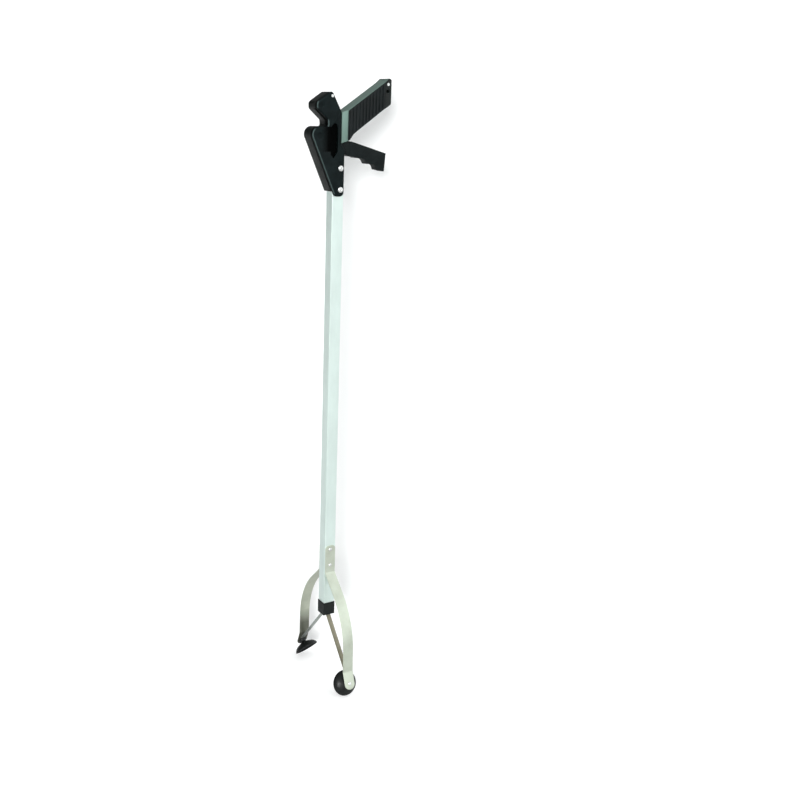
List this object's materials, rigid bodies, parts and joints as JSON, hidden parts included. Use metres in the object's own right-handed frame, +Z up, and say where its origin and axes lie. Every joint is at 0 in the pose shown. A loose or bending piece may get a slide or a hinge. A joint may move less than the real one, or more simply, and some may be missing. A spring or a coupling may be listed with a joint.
{
  "type": "reacher grabber",
  "caption": "Long-handled reacher grabber: square aluminium shaft, pistol grip with trigger, and spring-steel fingers with suction cups that close together.",
  "frame": {"origin": "where the hand holds it: the middle of the grip's root on the shaft's axis", "axes": "+Z up the shaft towards the grip; +X along the grip and the trigger; -Y towards the side of the thin cover plate; the fingers open and close along Y"},
  "size_m": [0.1101, 0.1506, 0.8205],
  "materials": {
    "shaft": "satin anodised extrusion",
    "grip_frame": "satin, bent channel",
    "spring_steel": "bright spring steel strip",
    "fastener": "plated",
    "black_plastic": "fine moulded texture",
    "trigger_plastic": "fine moulded texture",
    "grip_rubber": "ribbed",
    "cup_rubber": "smooth, slightly glossy",
    "inner_plastic": "natural nylon",
    "rod_steel": "drawn wire"
  },
  "bodies": {
    "base": {"shaft_tube": "shaft", "nose_cap": "black_plastic", "front_finger_tab": "spring_steel", "rear_finger_tab": "spring_steel", "tab_rivets": "fastener", "housing_rivets": "fastener", "head_rivet": "fastener", "rod_guide": "inner_plastic", "front_cover_plate": "black_plastic", "rear_housing_shell": "black_plastic", "trigger_pivot_pin": "fastener", "grip_channel": "grip_frame", "front_grip_pad": "grip_rubber", "rear_grip_pad": "grip_rubber", "grip_end_cap": "black_plastic", "grip_end_rivet": "fastener"},
    "trigger": {"trigger_lever": "trigger_plastic"},
    "pull_rod": {"pull_rod": "rod_steel", "rod_pin": "fastener", "strap_yoke": "inner_plastic", "front_upper_strap": "spring_steel", "rear_upper_strap": "spring_steel"},
    "front_finger": {"front_finger_blade": "spring_steel", "front_strap_foot": "spring_steel", "front_cup_neck": "cup_rubber", "front_suction_cup": "cup_rubber", "front_cup_rivet": "fastener"},
    "rear_finger": {"rear_finger_blade": "spring_steel", "rear_strap_foot": "spring_steel", "rear_cup_neck": "cup_rubber", "rear_cup_rivet": "fastener"},
    "rear_cup": {"rear_suction_cup": "cup_rubber"},
    "front_link": {"front_strap_link": "spring_steel"},
    "rear_link": {"rear_strap_link": "spring_steel"}
  },
  "joints": [
    {"name": "trigger_pivot", "type": "hinge", "parent": "base", "child": "trigger", "pos_m": [-0.0285, 0, -0.006], "axis": [0, -1, 0], "range_deg": [0, 26.05], "stiffness_Nm_per_rad": 0.5},
    {"name": "rod_slide", "type": "slide", "parent": "base", "child": "pull_rod", "axis": [0, 0, 1], "range_m": [0, 0.0129]},
    {"name": "front_finger_flex", "type": "hinge", "parent": "base", "child": "front_finger", "pos_m": [0, -0.0143, -0.59796], "axis": [1, 0, 0], "range_deg": [0, 22.6]},
    {"name": "front_strap_hinge", "type": "hinge", "parent": "front_finger", "child": "front_link", "pos_m": [0, -0.0684, -0.7262], "axis": [1, 0, 0], "range_deg": [0, 12.5]},
    {"name": "rear_finger_flex", "type": "hinge", "parent": "base", "child": "rear_finger", "pos_m": [0, 0.0143, -0.59796], "axis": [-1, 0, 0], "range_deg": [0, 22.6]},
    {"name": "rear_strap_hinge", "type": "hinge", "parent": "rear_finger", "child": "rear_link", "pos_m": [0, 0.0684, -0.7262], "axis": [-1, 0, 0], "range_deg": [0, 12.5]},
    {"name": "rear_cup_rock", "type": "hinge", "parent": "rear_finger", "child": "rear_cup", "pos_m": [0, 0.06569, -0.73484], "axis": [-0.8173, -0.1149, -0.5646], "range_deg": [0, 28.1]}
  ],
  "couplings": [
    {"joint": "rear_cup_rock", "follows": "trigger_pivot", "ratio": 1.0732},
    {"joint": "rod_slide", "follows": "trigger_pivot", "m_per_rad": 0.028151},
    {"joint": "front_finger_flex", "follows": "trigger_pivot", "ratio": 0.86219},
    {"joint": "front_strap_hinge", "follows": "trigger_pivot", "ratio": 0.47566},
    {"joint": "rear_finger_flex", "follows": "trigger_pivot", "ratio": 0.86219},
    {"joint": "rear_strap_hinge", "follows": "trigger_pivot", "ratio": 0.47566}
  ]
}
